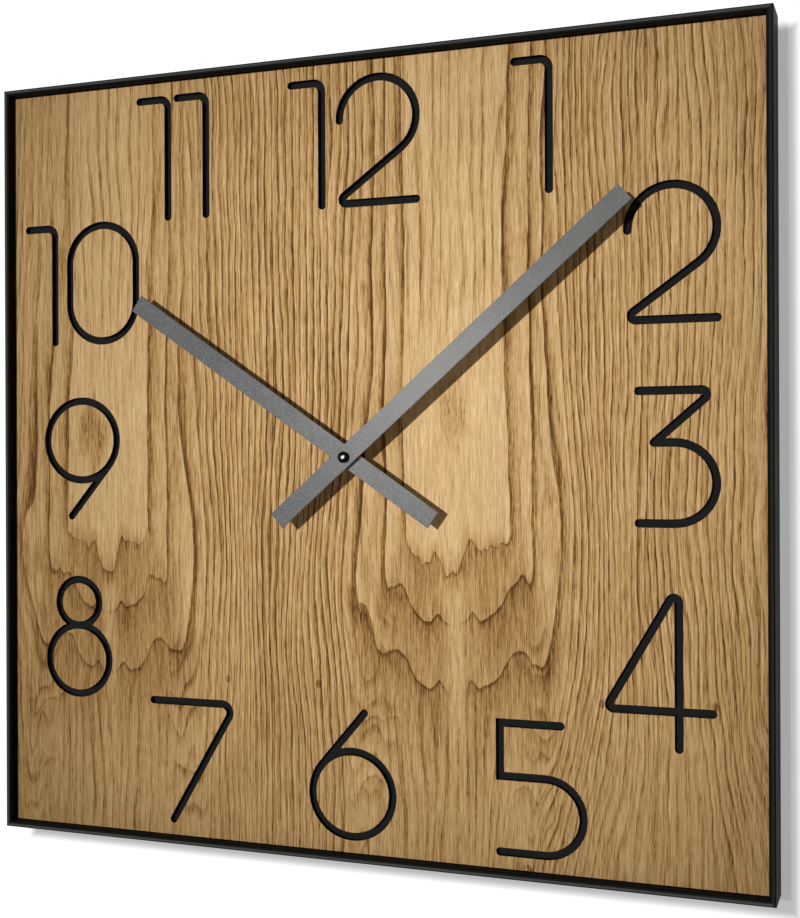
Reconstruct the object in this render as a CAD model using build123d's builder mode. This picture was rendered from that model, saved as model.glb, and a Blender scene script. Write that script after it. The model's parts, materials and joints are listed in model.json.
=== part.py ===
from build123d import *
import os
from math import asin, atan2, cos, degrees, hypot, radians, sin, tan

# A square wall clock: an oak dial with cut-through numerals, set back in a black mitred frame, two bar
# hands and a quartz movement behind the dial.  Millimetres.  X is to the viewer's right, Z is up and Y
# goes into the wall.  The origin is the axis of the hands on the wall plane.  "Height" below always
# means the distance from the wall towards the viewer, which is -Y.

# ---------------------------------------------------------------- driving sizes
# case and dial
clock_size = 500.0  # outside, both ways
frame_depth = 29.0
lip_width = 4.0  # front face of a frame bar
lip_round = 1.1
recess = 7.3  # from the lip down to the face of the dial
panel_thickness = 4.0
board_thickness = 3.0
ledge_thickness = 1.5  # inner flange of a bar, behind the board
ledge_width = 10.0
panel_gap = 0.4  # between the dial and the frame, all round

# numerals: sizes are those of the centre line of the groove
groove_width = 5.0
digit_height = 77.0
flag_length = 20.6  # of a 1
bend_radius = 5.5  # bend of a 1 and a 7
fold_radius = 2.7  # bend of a 2, a 3 and a 4
bowl_radius = 25.0  # of a 0 and a 2
two_heel = 28.7  # from the middle of a 2 to where its diagonal and its base would meet
three_drop = 0.8  # the top stroke of a 3, below the top of its neighbours
three_width = 42.6  # top stroke of a 3, to where it meets the diagonal
three_bowl = 23.2
three_waist = 8.6  # from the start of a 3 to its inner corner
three_shoulder = 20.2  # from the start of a 3 to the middle of its bowl
four_height = 93.6
four_bar_height = 21.1
four_reach = 41.6  # crossbar, left of the stem
four_overhang = 18.6  # crossbar, right of the stem
five_bowl = 22.6
five_top = 36.5
five_shoulder = 27.3  # from the stem of a 5 to the middle of its bowl
round_radius = 26.4  # bowl of a 6 and a 9
tail_offset = 8.0  # end of the tail of a 6 and a 9, off the middle of the bowl
seven_width = 59.0
seven_foot = 14.5
eight_top = 15.3
eight_bottom = 22.85

# where the numerals stand: rows and columns keep to the edges of the dial and to the rays of the hours
top_margin = 11.1  # from the edge of the dial to the centre line of the grooves
bottom_margin = 10.0
hour_step = 30.0  # degrees between the rays
upper_shift = 3.5  # of the row of 10 and 2, up from the rays
middle_shift = -0.2
lower_shift = -5.9
four_drop = 9.7  # the foot of the 4 hangs this far below its row
twelve_stem = -20.6  # along X from the axis
twelve_two = 16.2
six_middle = -1.7
one_stem = 9.8  # along X from a ray
five_stem = -21.0
seven_start = -27.1
eleven_stems = (-15.4, 12.1)
two_middle = -52.0  # along X from the right edge of the dial
three_start = -71.0
four_stem = -48.8
eight_middle = 49.1  # along X from the left edge of the dial
nine_middle = 51.8
ten_stem = 31.4
ten_zero = 68.0

# hands
hand_width = 11.7
hand_thickness = 1.2
hand_edge = 0.25
hour_length = 176.5
hour_tail = 66.8
hour_angle = 304.7  # clockwise from twelve
minute_length = 227.0
minute_tail = 59.8
minute_angle = 48.6
hub_gap = 0.7  # between the bushing and the hour collet
hands_gap = 3.0  # between the two hands
nut_radius = 3.5
nut_height = 3.6
nut_dome = 2.2
collet_radius = 3.6
collet_height = 1.5

# shafts in the middle
seconds_arbor_radius = 0.45
seconds_arbor_reach = 14.0  # into the minute arbor
minute_arbor_radius = 1.5
hour_pipe_radius = 2.5
bushing_radius = 4.0
bushing_rise = 9.8  # above the face of the dial
bushing_flange = 5.2
bushing_flange_thickness = 0.5
running = 0.06  # radial clearance of a turning shaft
fitting = 0.15  # clearance of pieces put together by hand
thread_radius = 1.2
thread_length = 2.2
washer_radius = 7.0
washer_thickness = 0.5
hex_across = 10.0
hex_height = 2.0

# movement case
movement_round = 3.0
shell = 1.2
chamber_drop = 10.5  # from the axis down to the wall above the battery
contact_room = 1.7  # at each end of the battery
cover_thickness = 1.5
gasket_thickness = 1.0
gasket_size = 22.0
cutout_gap = 2.0  # between the movement and the board
cutout_round = 4.0
train_plate_thickness = 1.0
train_plate_gap = 1.6  # between the cover and the train plate
post_radius = 1.7
post_inset = 3.4
post_upper = 12.0
small_screw = 0.6
small_head = 1.3
small_head_height = 0.5
small_bite = 4.0

# gear train: teeth and the distance between neighbouring axes
arbor_radius = 0.4
wheel_thickness = 0.8
pinion_length = 1.6
centre_teeth = 64
third_pinion_teeth = 8
third_teeth = 60
seconds_pinion_teeth = 8
seconds_teeth = 60
intermediate_pinion_teeth = 12
intermediate_teeth = 60
rotor_teeth = 10
cannon_teeth = 12
motion_teeth = 36
motion_pinion_teeth = 12
hour_teeth = 48
third_distance = 6.75
third_direction = 150.0  # degrees anticlockwise from +X, seen from the front
intermediate_distance = 7.0
intermediate_direction = 60.0
rotor_distance = 7.0
rotor_direction = 20.0
motion_distance = 7.4
motion_direction = -20.0
layer_gap = 0.4  # between neighbouring wheels
pivot_depth = 0.7  # of an arbor in the front of the case
tooth_root = 1.1  # depths and half widths of a tooth, in modules and in pitches
tooth_tip = 0.85
tooth_foot = 0.29
tooth_crest = 0.11
knurls = 20

# motor and electronics
magnet_radius = 2.6
magnet_height = 2.2
magnet_gap = 0.5
sheet_thickness = 0.8
leg_width = 3.4
coil_length = 20.8
coil_radius = 3.6
bobbin_flange = 1.0
bobbin_lip = 0.3
bobbin_radius = 2.3
core_width = 3.0
coil_gap = 1.9  # between the coil and the top of the case
coil_offset = 3.0  # of the middle of the coil, to the left of the rotor
circuit_width = 15.0
circuit_height = 10.0
circuit_thickness = 1.0
circuit_post_spacing = 10.0
crystal_offset = 3.75  # from the middle of the circuit board, to the left
blob_offset = 3.0  # and to the right
crystal_radius = 0.9
crystal_length = 5.6
crystal_round = 0.3
blob_radius = 2.1
blob_height = 1.0
blob_round = 0.8

# setting knob and battery
knob_radius = 5.0
knob_height = 2.4
knob_gap = 0.6
knurl_radius = 0.35
battery_radius = 7.1
battery_length = 50.2
battery_tip_radius = 2.7
battery_tip = 1.0
battery_edge = 0.4
battery_gap = 0.2
bay_gap = 0.45
contact_thickness = 0.4
contact_width = 9.0
contact_height = 10.0
contact_bump = 2.2
contact_taper = 25.0

# hanger, braces and screws
hanger_drop = 60.0  # of the entry hole, below the top of the frame
hanger_width = 44.0
hanger_height = 26.0
hanger_round = 6.5
hanger_thickness = 1.5
hanger_screw_spacing = 30.0
keyhole_radius = 5.0
keyhole_slot = 5.0
keyhole_travel = 9.0
pocket_gap = 2.5
brace_leg = 46.0
brace_width = 8.0
brace_thickness = 1.2
brace_hole_pitch = 20.0
brace_first_hole = 16.0
screw_radius = 1.4
screw_head = 2.7
screw_head_height = 1.4
screw_bite = 5.0
cross_length = 1.2  # of the driver cross, in head radii
cross_width = 0.25
panel_screw_pitch = 150.0

# ---------------------------------------------------------------- heights that follow from them
dial_face = frame_depth - recess
panel_back = dial_face - panel_thickness
board_back = panel_back - board_thickness
ledge_back = board_back - ledge_thickness
case_front = panel_back - gasket_thickness
case_floor = case_front - shell

# the wheels lie in layers, from the front of the case back to the train plate
overhang = (pinion_length - wheel_thickness) / 2  # of a pinion, each side of the wheel that it meets
bushing_flange_back = case_floor - bushing_flange_thickness
hour_wheel_back = bushing_flange_back - layer_gap - wheel_thickness
motion_pinion_back = hour_wheel_back - overhang
motion_wheel_back = motion_pinion_back - wheel_thickness
cannon_back = motion_wheel_back - overhang - layer_gap / 2
centre_wheel_back = cannon_back - layer_gap - wheel_thickness
third_pinion_back = centre_wheel_back - overhang
third_wheel_back = third_pinion_back - layer_gap - wheel_thickness
seconds_pinion_back = third_wheel_back - overhang
seconds_wheel_back = seconds_pinion_back - layer_gap - wheel_thickness
intermediate_pinion_back = seconds_wheel_back - overhang
intermediate_wheel_back = intermediate_pinion_back - layer_gap - wheel_thickness
rotor_pinion_back = intermediate_wheel_back - overhang
magnet_back = rotor_pinion_back + pinion_length + layer_gap
plate_front = rotor_pinion_back - 2 * layer_gap
plate_back = plate_front - train_plate_thickness
cover_front = plate_back - train_plate_gap
case_back = cover_front - cover_thickness

# the movement's case, seen from the front: it is as wide as the battery needs, with the axis halfway up
battery_height = case_floor - battery_gap - battery_radius
movement_width = battery_length + 2 * (contact_room + shell)
inner_width = movement_width - 2 * shell
chamber_bottom = -chamber_drop
bay_top = chamber_bottom - shell
battery_middle = bay_top - bay_gap - battery_radius
bay_bottom = battery_middle - battery_radius - bay_gap
inner_top = -bay_bottom
case_top = inner_top + shell
movement_height = 2 * case_top
cover_bottom = bay_top + shell / 2

# the dial's edges and the lines that its numerals keep to
half_clock = clock_size / 2
frame_inner = half_clock - lip_width
panel_edge = frame_inner - panel_gap
panel_size = 2 * panel_edge
row_top = panel_edge - top_margin - digit_height
row_bottom = bottom_margin - panel_edge
hour_line = (row_top + digit_height / 2) * tan(radians(hour_step))
row_upper = hour_line - digit_height / 2 + upper_shift
row_middle = -digit_height / 2 + middle_shift
row_lower = -hour_line - digit_height / 2 + lower_shift
four_foot = row_lower - four_drop
hanger_middle = half_clock - hanger_drop

# the hands stand on the bushing
bushing_front = dial_face + bushing_rise
hour_hand_back = bushing_front + hub_gap + collet_height
hour_hand_front = hour_hand_back + hand_thickness
minute_hand_back = hour_hand_front + hands_gap
minute_hand_front = minute_hand_back + hand_thickness


def polar(distance, direction, start=(0.0, 0.0)):
    """A point at a distance and a direction (degrees, anticlockwise from +X) from start."""
    return (
        start[0] + distance * cos(radians(direction)),
        start[1] + distance * sin(radians(direction)),
    )


third_axis = polar(third_distance, third_direction)
intermediate_axis = polar(intermediate_distance, intermediate_direction)
rotor_axis = polar(rotor_distance, rotor_direction, intermediate_axis)
motion_axis = polar(motion_distance, motion_direction)


def layer(height):
    """The plane at a height, seen from the front: its X is X, its Y is Z, its normal faces the viewer."""
    return Plane(origin=(0, -height, 0), x_dir=(1, 0, 0), z_dir=(0, -1, 0))


def block(bottom, top, mode=Mode.ADD):
    """Extrudes the pending sketch, which lies at height bottom, up to height top."""
    extrude(amount=top - bottom, mode=mode)


def save(piece, name):
    """Names a finished piece and writes its file."""
    piece.label = name
    os.makedirs("parts", exist_ok=True)
    export_step(piece, f"parts/{name}.step")


# ---------------------------------------------------------------- numerals
def run(start, steps):
    """Points given as steps from start, as absolute places."""
    return [(start[0] + x, start[1] + z) for x, z in steps]


def groove(path, *ends):
    """Widens a centre line to the groove and rounds it at the given ends."""
    trace(path.line, line_width=groove_width)
    with Locations(*ends):
        Circle(groove_width / 2)


def bent_groove(points, bends):
    """A groove of straight runs joined by bends of the given radii."""
    with BuildLine() as path:
        FilletPolyline(points, radius=bends)
    groove(path, points[0], points[-1])


def tangent_to_bowl(end, middle, radius, side):
    """Direction from end to where a line touches the bowl, and the point that it touches."""
    across = hypot(middle[0] - end[0], middle[1] - end[1])
    straight = degrees(atan2(middle[1] - end[1], middle[0] - end[0]))
    direction = straight + side * degrees(asin(radius / across))
    reach = (across**2 - radius**2) ** 0.5
    return direction, polar(reach, direction, end)


def numeral_one(stem, foot):
    steps = [(-flag_length, digit_height), (0, digit_height), (0, 0)]
    bent_groove(run((stem, foot), steps), [bend_radius])


def numeral_two(middle, foot):
    crown = (middle, foot + digit_height - bowl_radius)
    heel = (middle - two_heel, foot)
    toe = (middle + bowl_radius, foot)
    direction, touch = tangent_to_bowl(heel, crown, bowl_radius, -1)
    with BuildLine() as path:
        CenterArc(crown, bowl_radius, direction - 90, 270 - direction)
        FilletPolyline(touch, heel, toe, radius=[fold_radius])
    groove(path, (middle - bowl_radius, crown[1]), toe)


def numeral_three(start, foot):
    crown = foot + digit_height - three_drop
    waist = foot + 2 * three_bowl
    corner = (start + three_waist, waist)
    middle = (start + three_shoulder, foot + three_bowl)
    bent_groove([(start, crown), (start + three_width, crown), corner], [fold_radius])
    with BuildLine() as path:
        Line(corner, (middle[0], waist))
        CenterArc(middle, three_bowl, -90, 180)
        Line((middle[0], foot), (start, foot))
    groove(path, corner, (start, foot))


def four_corners(stem, foot):
    """Foot, apex, left corner and right end of the centre line of a 4."""
    bar = foot + four_bar_height
    return [
        (stem, foot),
        (stem, foot + four_height),
        (stem - four_reach, bar),
        (stem + four_overhang, bar),
    ]


def numeral_four(stem, foot):
    bent_groove(four_corners(stem, foot), [fold_radius, fold_radius])


def numeral_five(stem, foot):
    crown = foot + digit_height
    waist = foot + 2 * five_bowl
    middle = (stem + five_shoulder, foot + five_bowl)
    with BuildLine() as path:
        Polyline((stem + five_top, crown), (stem, crown), (stem, waist), (middle[0], waist))
        CenterArc(middle, five_bowl, -90, 180)
        Line((middle[0], foot), (stem, foot))
    groove(path, (stem + five_top, crown), (stem, foot))


def ring(middle, radius):
    """A closed round groove."""
    with Locations(middle):
        Circle(radius + groove_width / 2)
        Circle(radius - groove_width / 2, mode=Mode.SUBTRACT)


def numeral_six(middle, foot, turned=1):
    """A 6, or with turned=-1 a 9, which is the same figure stood on its head."""
    half = digit_height / 2
    bowl = (middle, foot + half - turned * (half - round_radius))
    end = (middle + turned * tail_offset, foot + half + turned * half)
    touch = tangent_to_bowl(end, bowl, round_radius, -1)[1]
    ring(bowl, round_radius)
    with BuildLine() as path:
        Line(end, touch)
    groove(path, end)


def numeral_seven(start, foot):
    crown = foot + digit_height
    bent_groove(
        [(start, crown), (start + seven_width, crown), (start + seven_foot, foot)],
        [bend_radius],
    )


def numeral_eight(middle, foot):
    lower = foot + eight_bottom
    ring((middle, lower), eight_bottom)
    ring((middle, lower + eight_bottom + eight_top), eight_top)


def numeral_zero(middle, foot):
    outer = digit_height + groove_width
    inner = digit_height - groove_width
    with Locations((middle, foot + digit_height / 2)):
        SlotOverall(outer, 2 * bowl_radius + groove_width, rotation=90)
        SlotOverall(inner, 2 * bowl_radius - groove_width, rotation=90, mode=Mode.SUBTRACT)


with BuildSketch(layer(panel_back)) as numerals:
    for stem in eleven_stems:
        numeral_one(stem - hour_line, row_top)
    numeral_one(twelve_stem, row_top)
    numeral_two(twelve_two, row_top)
    numeral_one(one_stem + hour_line, row_top)
    numeral_two(two_middle + panel_edge, row_upper)
    numeral_three(three_start + panel_edge, row_middle)
    numeral_four(four_stem + panel_edge, four_foot)
    numeral_five(five_stem + hour_line, row_bottom)
    numeral_six(six_middle, row_bottom)
    numeral_seven(seven_start - hour_line, row_bottom)
    numeral_eight(eight_middle - panel_edge, row_lower)
    numeral_six(nine_middle - panel_edge, row_middle, turned=-1)
    numeral_one(ten_stem - panel_edge, row_upper)
    numeral_zero(ten_zero - panel_edge, row_upper)


# ---------------------------------------------------------------- screws: places seen from the front
screw_line = frame_inner - ledge_width / 2  # the screws' distance from the axis
brace_corner = screw_line + brace_width / 2
brace_holes = [brace_corner - brace_first_hole - brace_hole_pitch * n for n in range(2)]


def on_bar(turn, along, out):
    """A place on the bar that stands turn degrees clockwise from the top one."""
    angle = radians(turn)
    return (along * cos(angle) + out * sin(angle), out * cos(angle) - along * sin(angle))


bar_turns = {"top": 0, "right": 90, "bottom": 180, "left": 270}
brace_screw_places = [
    on_bar(turn, side * along, screw_line)
    for turn in bar_turns.values()
    for along in brace_holes
    for side in (-1, 1)
]
panel_screw_places = [
    on_bar(turn, side * panel_screw_pitch / 2, screw_line)
    for turn in bar_turns.values()
    for side in (-1, 1)
]
hanger_screw_places = [
    (side * hanger_screw_spacing / 2, hanger_middle + keyhole_travel / 2) for side in (-1, 1)
]
post_places = [
    (side * (movement_width / 2 - post_inset), z)
    for side in (-1, 1)
    for z in (chamber_bottom + post_radius, post_upper)
]


def screws(name, places, seat, bite, radius, head, head_height):
    """Pan-head screws driven towards the viewer: the head ends at height seat, the tip bite further."""
    with BuildPart() as group:
        with BuildSketch(layer(seat - head_height)):
            with Locations(*places):
                Circle(head)
        block(seat - head_height, seat)
        with BuildSketch(layer(seat)):
            with Locations(*places):
                Circle(radius)
        block(seat, seat + bite)
        with BuildSketch(layer(seat - head_height)):
            with Locations(*places):
                Rectangle(cross_length * head, cross_width * head)
                Rectangle(cross_width * head, cross_length * head)
        block(0, head_height / 2, mode=Mode.SUBTRACT)
    save(group.part, name)


# ---------------------------------------------------------------- frame
for name, turn in bar_turns.items():
    outwards = on_bar(turn, 0, 1)
    along = on_bar(turn, 1, 0)
    section = Plane(origin=(0, 0, 0), x_dir=(outwards[0], 0, outwards[1]), z_dir=(along[0], 0, along[1]))
    with BuildPart() as bar:
        with BuildSketch(section) as profile:
            with BuildLine():
                Polyline(
                    (frame_inner, 0),
                    (half_clock, 0),
                    (half_clock, frame_depth),
                    (frame_inner, frame_depth),
                    (frame_inner, board_back),
                    (frame_inner - ledge_width, board_back),
                    (frame_inner - ledge_width, ledge_back),
                    (frame_inner, ledge_back),
                    close=True,
                )
            make_face()
            fillet(profile.vertices().group_by(Axis.Y)[-1], lip_round)
        extrude(amount=half_clock, both=True)
        with BuildSketch(layer(0)):
            with BuildLine():
                corners = [on_bar(turn, side * clock_size, clock_size) for side in (-1, 1)]
                Polyline((0, 0), *corners, close=True)
            make_face()
        block(0, frame_depth, mode=Mode.INTERSECT)
        with BuildSketch(layer(ledge_back)):
            with Locations(*brace_screw_places, *panel_screw_places):
                Circle(screw_radius + fitting)
        block(ledge_back, board_back, mode=Mode.SUBTRACT)
    save(bar.part, f"frame_{name}")

for vertical, z_side in (("top", 1), ("bottom", -1)):
    for horizontal, x_side in (("left", -1), ("right", 1)):
        with BuildPart() as brace:
            with BuildSketch(layer(ledge_back - brace_thickness)):
                leg_middle = brace_corner - brace_leg / 2
                with Locations((x_side * leg_middle, z_side * screw_line)):
                    Rectangle(brace_leg, brace_width)
                with Locations((x_side * screw_line, z_side * leg_middle)):
                    Rectangle(brace_width, brace_leg)
                with Locations(*brace_screw_places):
                    Circle(screw_radius + fitting, mode=Mode.SUBTRACT)
            block(0, brace_thickness)
        save(brace.part, f"corner_brace_{vertical}_{horizontal}")

screws(
    "brace_screws",
    brace_screw_places,
    ledge_back - brace_thickness,
    brace_thickness + ledge_thickness + screw_bite,
    screw_radius,
    screw_head,
    screw_head_height,
)
screws(
    "panel_screws",
    panel_screw_places,
    ledge_back,
    ledge_thickness + screw_bite,
    screw_radius,
    screw_head,
    screw_head_height,
)

# ---------------------------------------------------------------- dial, its islands and the board behind
with BuildPart() as dial:
    with BuildSketch(layer(panel_back)):
        Rectangle(panel_size, panel_size)
        Circle(bushing_radius + fitting, mode=Mode.SUBTRACT)
        add(numerals.sketch, mode=Mode.SUBTRACT)
    block(panel_back, dial_face)
    with BuildSketch(layer(panel_back)):
        with Locations(*brace_screw_places, *panel_screw_places):
            Circle(screw_radius)
    block(board_thickness, screw_bite, mode=Mode.SUBTRACT)

pieces = dial.part.solids().sort_by(SortBy.VOLUME)
save(Part(pieces[-1].wrapped), "dial_panel")
eight_x = eight_middle - panel_edge
four_x = four_stem + panel_edge - four_reach / 3  # a third of the way along and up, as in any triangle
four_z = four_foot + four_bar_height + (four_height - four_bar_height) / 3
island_places = {
    "island_zero": (ten_zero - panel_edge, row_upper + digit_height / 2),
    "island_four": (four_x, four_z),
    "island_six": (six_middle, row_bottom + round_radius),
    "island_eight_lower": (eight_x, row_lower + eight_bottom),
    "island_eight_upper": (eight_x, row_lower + 2 * eight_bottom + eight_top),
    "island_nine": (nine_middle - panel_edge, row_middle + digit_height - round_radius),
}
for name, (x, z) in island_places.items():
    middle = Vector(x, -dial_face, z)
    island = min(pieces[:-1], key=lambda piece: (piece.center() - middle).length)
    save(Part(island.wrapped), name)

with BuildPart() as board:
    with BuildSketch(layer(board_back)):
        Rectangle(panel_size, panel_size)
        cutout = (movement_width + 2 * cutout_gap, movement_height + 2 * cutout_gap)
        RectangleRounded(*cutout, cutout_round, mode=Mode.SUBTRACT)
        with Locations((0, hanger_middle + keyhole_travel / 2)):
            pocket_width = 2 * (keyhole_radius + pocket_gap)
            SlotOverall(keyhole_travel + pocket_width, pocket_width, rotation=90, mode=Mode.SUBTRACT)
        with Locations(*brace_screw_places, *panel_screw_places, *hanger_screw_places):
            Circle(screw_radius, mode=Mode.SUBTRACT)
    block(board_back, panel_back)
save(board.part, "backing_board")

# ---------------------------------------------------------------- hanger
with BuildPart() as hanger:
    with BuildSketch(layer(board_back - hanger_thickness)):
        with Locations((0, hanger_middle + keyhole_travel / 2)):
            RectangleRounded(hanger_width, hanger_height, hanger_round)
            SlotCenterToCenter(keyhole_travel, keyhole_slot, rotation=90, mode=Mode.SUBTRACT)
        with Locations((0, hanger_middle)):
            Circle(keyhole_radius, mode=Mode.SUBTRACT)
        with Locations(*hanger_screw_places):
            Circle(screw_radius + fitting, mode=Mode.SUBTRACT)
    block(0, hanger_thickness)
save(hanger.part, "hanger_plate")
screws(
    "hanger_screws",
    hanger_screw_places,
    board_back - hanger_thickness,
    hanger_thickness + board_thickness,
    screw_radius,
    screw_head,
    screw_head_height,
)


# ---------------------------------------------------------------- hands and what holds the movement
def hand(name, angle, length, tail, bore, back):
    """A flat bar from its tail to its tip, pointing angle degrees clockwise from twelve."""
    direction = 90 - angle
    with BuildPart() as bar:
        with BuildSketch(layer(back)):
            with Locations(polar((length - tail) / 2, direction)):
                Rectangle(length + tail, hand_width, rotation=direction)
            Circle(bore, mode=Mode.SUBTRACT)
        block(back, back + hand_thickness)
        chamfer(bar.faces().sort_by(Axis.Y)[0].outer_wire().edges(), hand_edge)
    save(bar.part, name)


def tube(name, steps, bore, bore_back, bore_front):
    """A round piece of (radius, back, front) steps along the main axis, bored through a span."""
    with BuildPart() as piece:
        for radius, back, front in steps:
            with BuildSketch(layer(back)):
                Circle(radius)
            block(back, front)
        with BuildSketch(layer(bore_back)):
            Circle(bore)
        block(bore_back, bore_front, mode=Mode.SUBTRACT)
    save(piece.part, name)


hand("hour_hand", hour_angle, hour_length, hour_tail, hour_pipe_radius, hour_hand_back)
hand("minute_hand", minute_angle, minute_length, minute_tail, minute_arbor_radius, minute_hand_back)

for name, bore, front in (
    ("hour_collet", hour_pipe_radius, hour_hand_back),
    ("minute_collet", minute_arbor_radius, minute_hand_back),
):
    back = front - collet_height
    tube(name, [(collet_radius, back, front)], bore, back, front)

with BuildPart() as cap_nut:
    with BuildSketch(layer(minute_hand_front)):
        Circle(nut_radius)
    block(0, nut_height)
    fillet(cap_nut.faces().sort_by(Axis.Y)[0].edges(), nut_dome)
    with BuildSketch(layer(minute_hand_front)):
        Circle(thread_radius)
    block(0, thread_length, mode=Mode.SUBTRACT)
save(cap_nut.part, "cap_nut")

tube(
    "threaded_bushing",
    [(bushing_flange, bushing_flange_back, case_floor), (bushing_radius, case_floor, bushing_front)],
    hour_pipe_radius + running,
    bushing_flange_back,
    bushing_front,
)
washer_front = dial_face + washer_thickness
tube("dial_washer", [(washer_radius, dial_face, washer_front)], bushing_radius, dial_face, washer_front)

with BuildPart() as hex_nut:
    with BuildSketch(layer(washer_front)):
        RegularPolygon(hex_across / 2, 6, major_radius=False)
        Circle(bushing_radius, mode=Mode.SUBTRACT)
    block(0, hex_height)
save(hex_nut.part, "hex_nut")

with BuildPart() as gasket:
    with BuildSketch(layer(case_front)):
        RectangleRounded(gasket_size, gasket_size, cutout_round)
        Circle(bushing_radius, mode=Mode.SUBTRACT)
    block(case_front, panel_back)
save(gasket.part, "rubber_gasket")

# ---------------------------------------------------------------- movement case
chamber_height = inner_top - chamber_bottom
chamber_middle = (inner_top + chamber_bottom) / 2
cover_height = case_top - cover_bottom
cover_middle = (case_top + cover_bottom) / 2
wheel_axes = [third_axis, intermediate_axis, rotor_axis, motion_axis]
circuit_middle = (
    (circuit_width - inner_width) / 2 + fitting,
    inner_top - circuit_height / 2 - fitting,
)
circuit_posts = [
    (circuit_middle[0] + side * circuit_post_spacing / 2, circuit_middle[1]) for side in (-1, 1)
]
stator_back = magnet_back + (magnet_height - sheet_thickness) / 2
core_back = stator_back + sheet_thickness
circuit_back = core_back

with BuildPart() as housing:
    with BuildSketch(layer(case_back)):
        RectangleRounded(movement_width, movement_height, movement_round)
    block(case_back, case_front)
    with BuildSketch(layer(case_back)):
        with Locations((0, cover_middle)):
            Rectangle(movement_width, cover_height)
    block(case_back, cover_front, mode=Mode.SUBTRACT)
    with BuildSketch(layer(case_back)):
        with Locations((0, chamber_middle)):
            Rectangle(inner_width, chamber_height)
        with Locations((0, (bay_top + bay_bottom) / 2)):
            Rectangle(inner_width, bay_top - bay_bottom)
    block(case_back, case_floor, mode=Mode.SUBTRACT)
    with BuildSketch(layer(plate_front)):
        with Locations(*post_places):
            Circle(post_radius)
    block(plate_front, case_floor)
    with BuildSketch(layer(circuit_back + circuit_thickness)):
        with Locations(*circuit_posts):
            Circle(post_radius)
    block(circuit_back + circuit_thickness, case_floor)
    with BuildSketch(layer(plate_front)):
        with Locations(*post_places):
            Circle(small_screw)
    block(0, small_bite, mode=Mode.SUBTRACT)
    with BuildSketch(layer(case_floor)):
        with Locations(*wheel_axes):
            Circle(arbor_radius + running)
    block(0, pivot_depth + running, mode=Mode.SUBTRACT)
    with BuildSketch(layer(case_floor)):
        Circle(bushing_radius)
    block(case_floor, case_front, mode=Mode.SUBTRACT)
save(housing.part, "movement_housing")

with BuildPart() as train_plate:
    with BuildSketch(layer(plate_back)):
        with Locations((0, chamber_middle)):
            Rectangle(inner_width - 2 * fitting, chamber_height - 2 * fitting)
        with Locations((0, 0), *wheel_axes):
            Circle(arbor_radius + running, mode=Mode.SUBTRACT)
        Circle(seconds_arbor_radius + running, mode=Mode.SUBTRACT)
        with Locations(*post_places):
            Circle(small_screw, mode=Mode.SUBTRACT)
    block(plate_back, plate_front)
save(train_plate.part, "train_plate")

with BuildPart() as cover:
    with BuildSketch(layer(case_back)):
        RectangleRounded(movement_width, movement_height, movement_round)
        with Locations((0, cover_middle + fitting)):
            Rectangle(movement_width, cover_height, mode=Mode.INTERSECT)
        with Locations(motion_axis):
            Circle(knob_radius + knob_gap, mode=Mode.SUBTRACT)
    block(case_back, cover_front)
    with BuildSketch(layer(cover_front)):
        with Locations(*post_places):
            Circle(post_radius)
    block(cover_front, plate_back)
    with BuildSketch(layer(case_back)):
        with Locations(*post_places):
            Circle(small_screw)
    block(case_back, plate_back, mode=Mode.SUBTRACT)
save(cover.part, "rear_cover")
screws(
    "movement_screws",
    post_places,
    case_back,
    plate_front - case_back + small_bite,
    small_screw,
    small_head,
    small_head_height,
)


# ---------------------------------------------------------------- gear train
def gear_outline(middle, teeth, module, direction):
    """Sketches a tooth ring with the middle of one tooth in the given direction."""
    pitch_radius = module * teeth / 2
    root = pitch_radius - tooth_root * module
    tip = pitch_radius + tooth_tip * module
    pitch = 360 / teeth
    corners = ((root, -tooth_foot), (tip, -tooth_crest), (tip, tooth_crest), (root, tooth_foot))
    with BuildLine() as outline:
        Polyline(
            [
                polar(radius, direction + (tooth + share) * pitch, middle)
                for tooth in range(teeth)
                for radius, share in corners
            ],
            close=True,
        )
    make_face(outline.edges())


def module_of(distance, teeth, other_teeth):
    """The tooth size that lets two wheels mesh at a distance."""
    return 2 * distance / (teeth + other_teeth)


def facing(direction, teeth):
    """Where to put a tooth so that a gap faces back along a direction."""
    return direction + 180 + 180 / teeth


def wheel(name, middle, arbors, rings, bore=None):
    """A moulded wheel: (radius, back, front) arbors and (teeth, module, direction, back, front) rings."""
    with BuildPart() as piece:
        for radius, back, front in arbors:
            with BuildSketch(layer(back)):
                with Locations(middle):
                    Circle(radius)
            block(back, front)
        for teeth, module, direction, back, front in rings:
            with BuildSketch(layer(back)):
                gear_outline(middle, teeth, module, direction)
            block(back, front)
        if bore:
            with BuildSketch(layer(case_back)):
                with Locations(middle):
                    Circle(bore)
            block(case_back, minute_hand_front, mode=Mode.SUBTRACT)
    save(piece.part, name)


centre_module = module_of(third_distance, centre_teeth, third_pinion_teeth)
third_module = module_of(third_distance, third_teeth, seconds_pinion_teeth)
seconds_module = module_of(intermediate_distance, seconds_teeth, intermediate_pinion_teeth)
rotor_module = module_of(rotor_distance, intermediate_teeth, rotor_teeth)
cannon_module = module_of(motion_distance, cannon_teeth, motion_teeth)
hour_module = module_of(motion_distance, hour_teeth, motion_pinion_teeth)
pivot_front = case_floor + pivot_depth
pivot_back = plate_back

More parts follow.
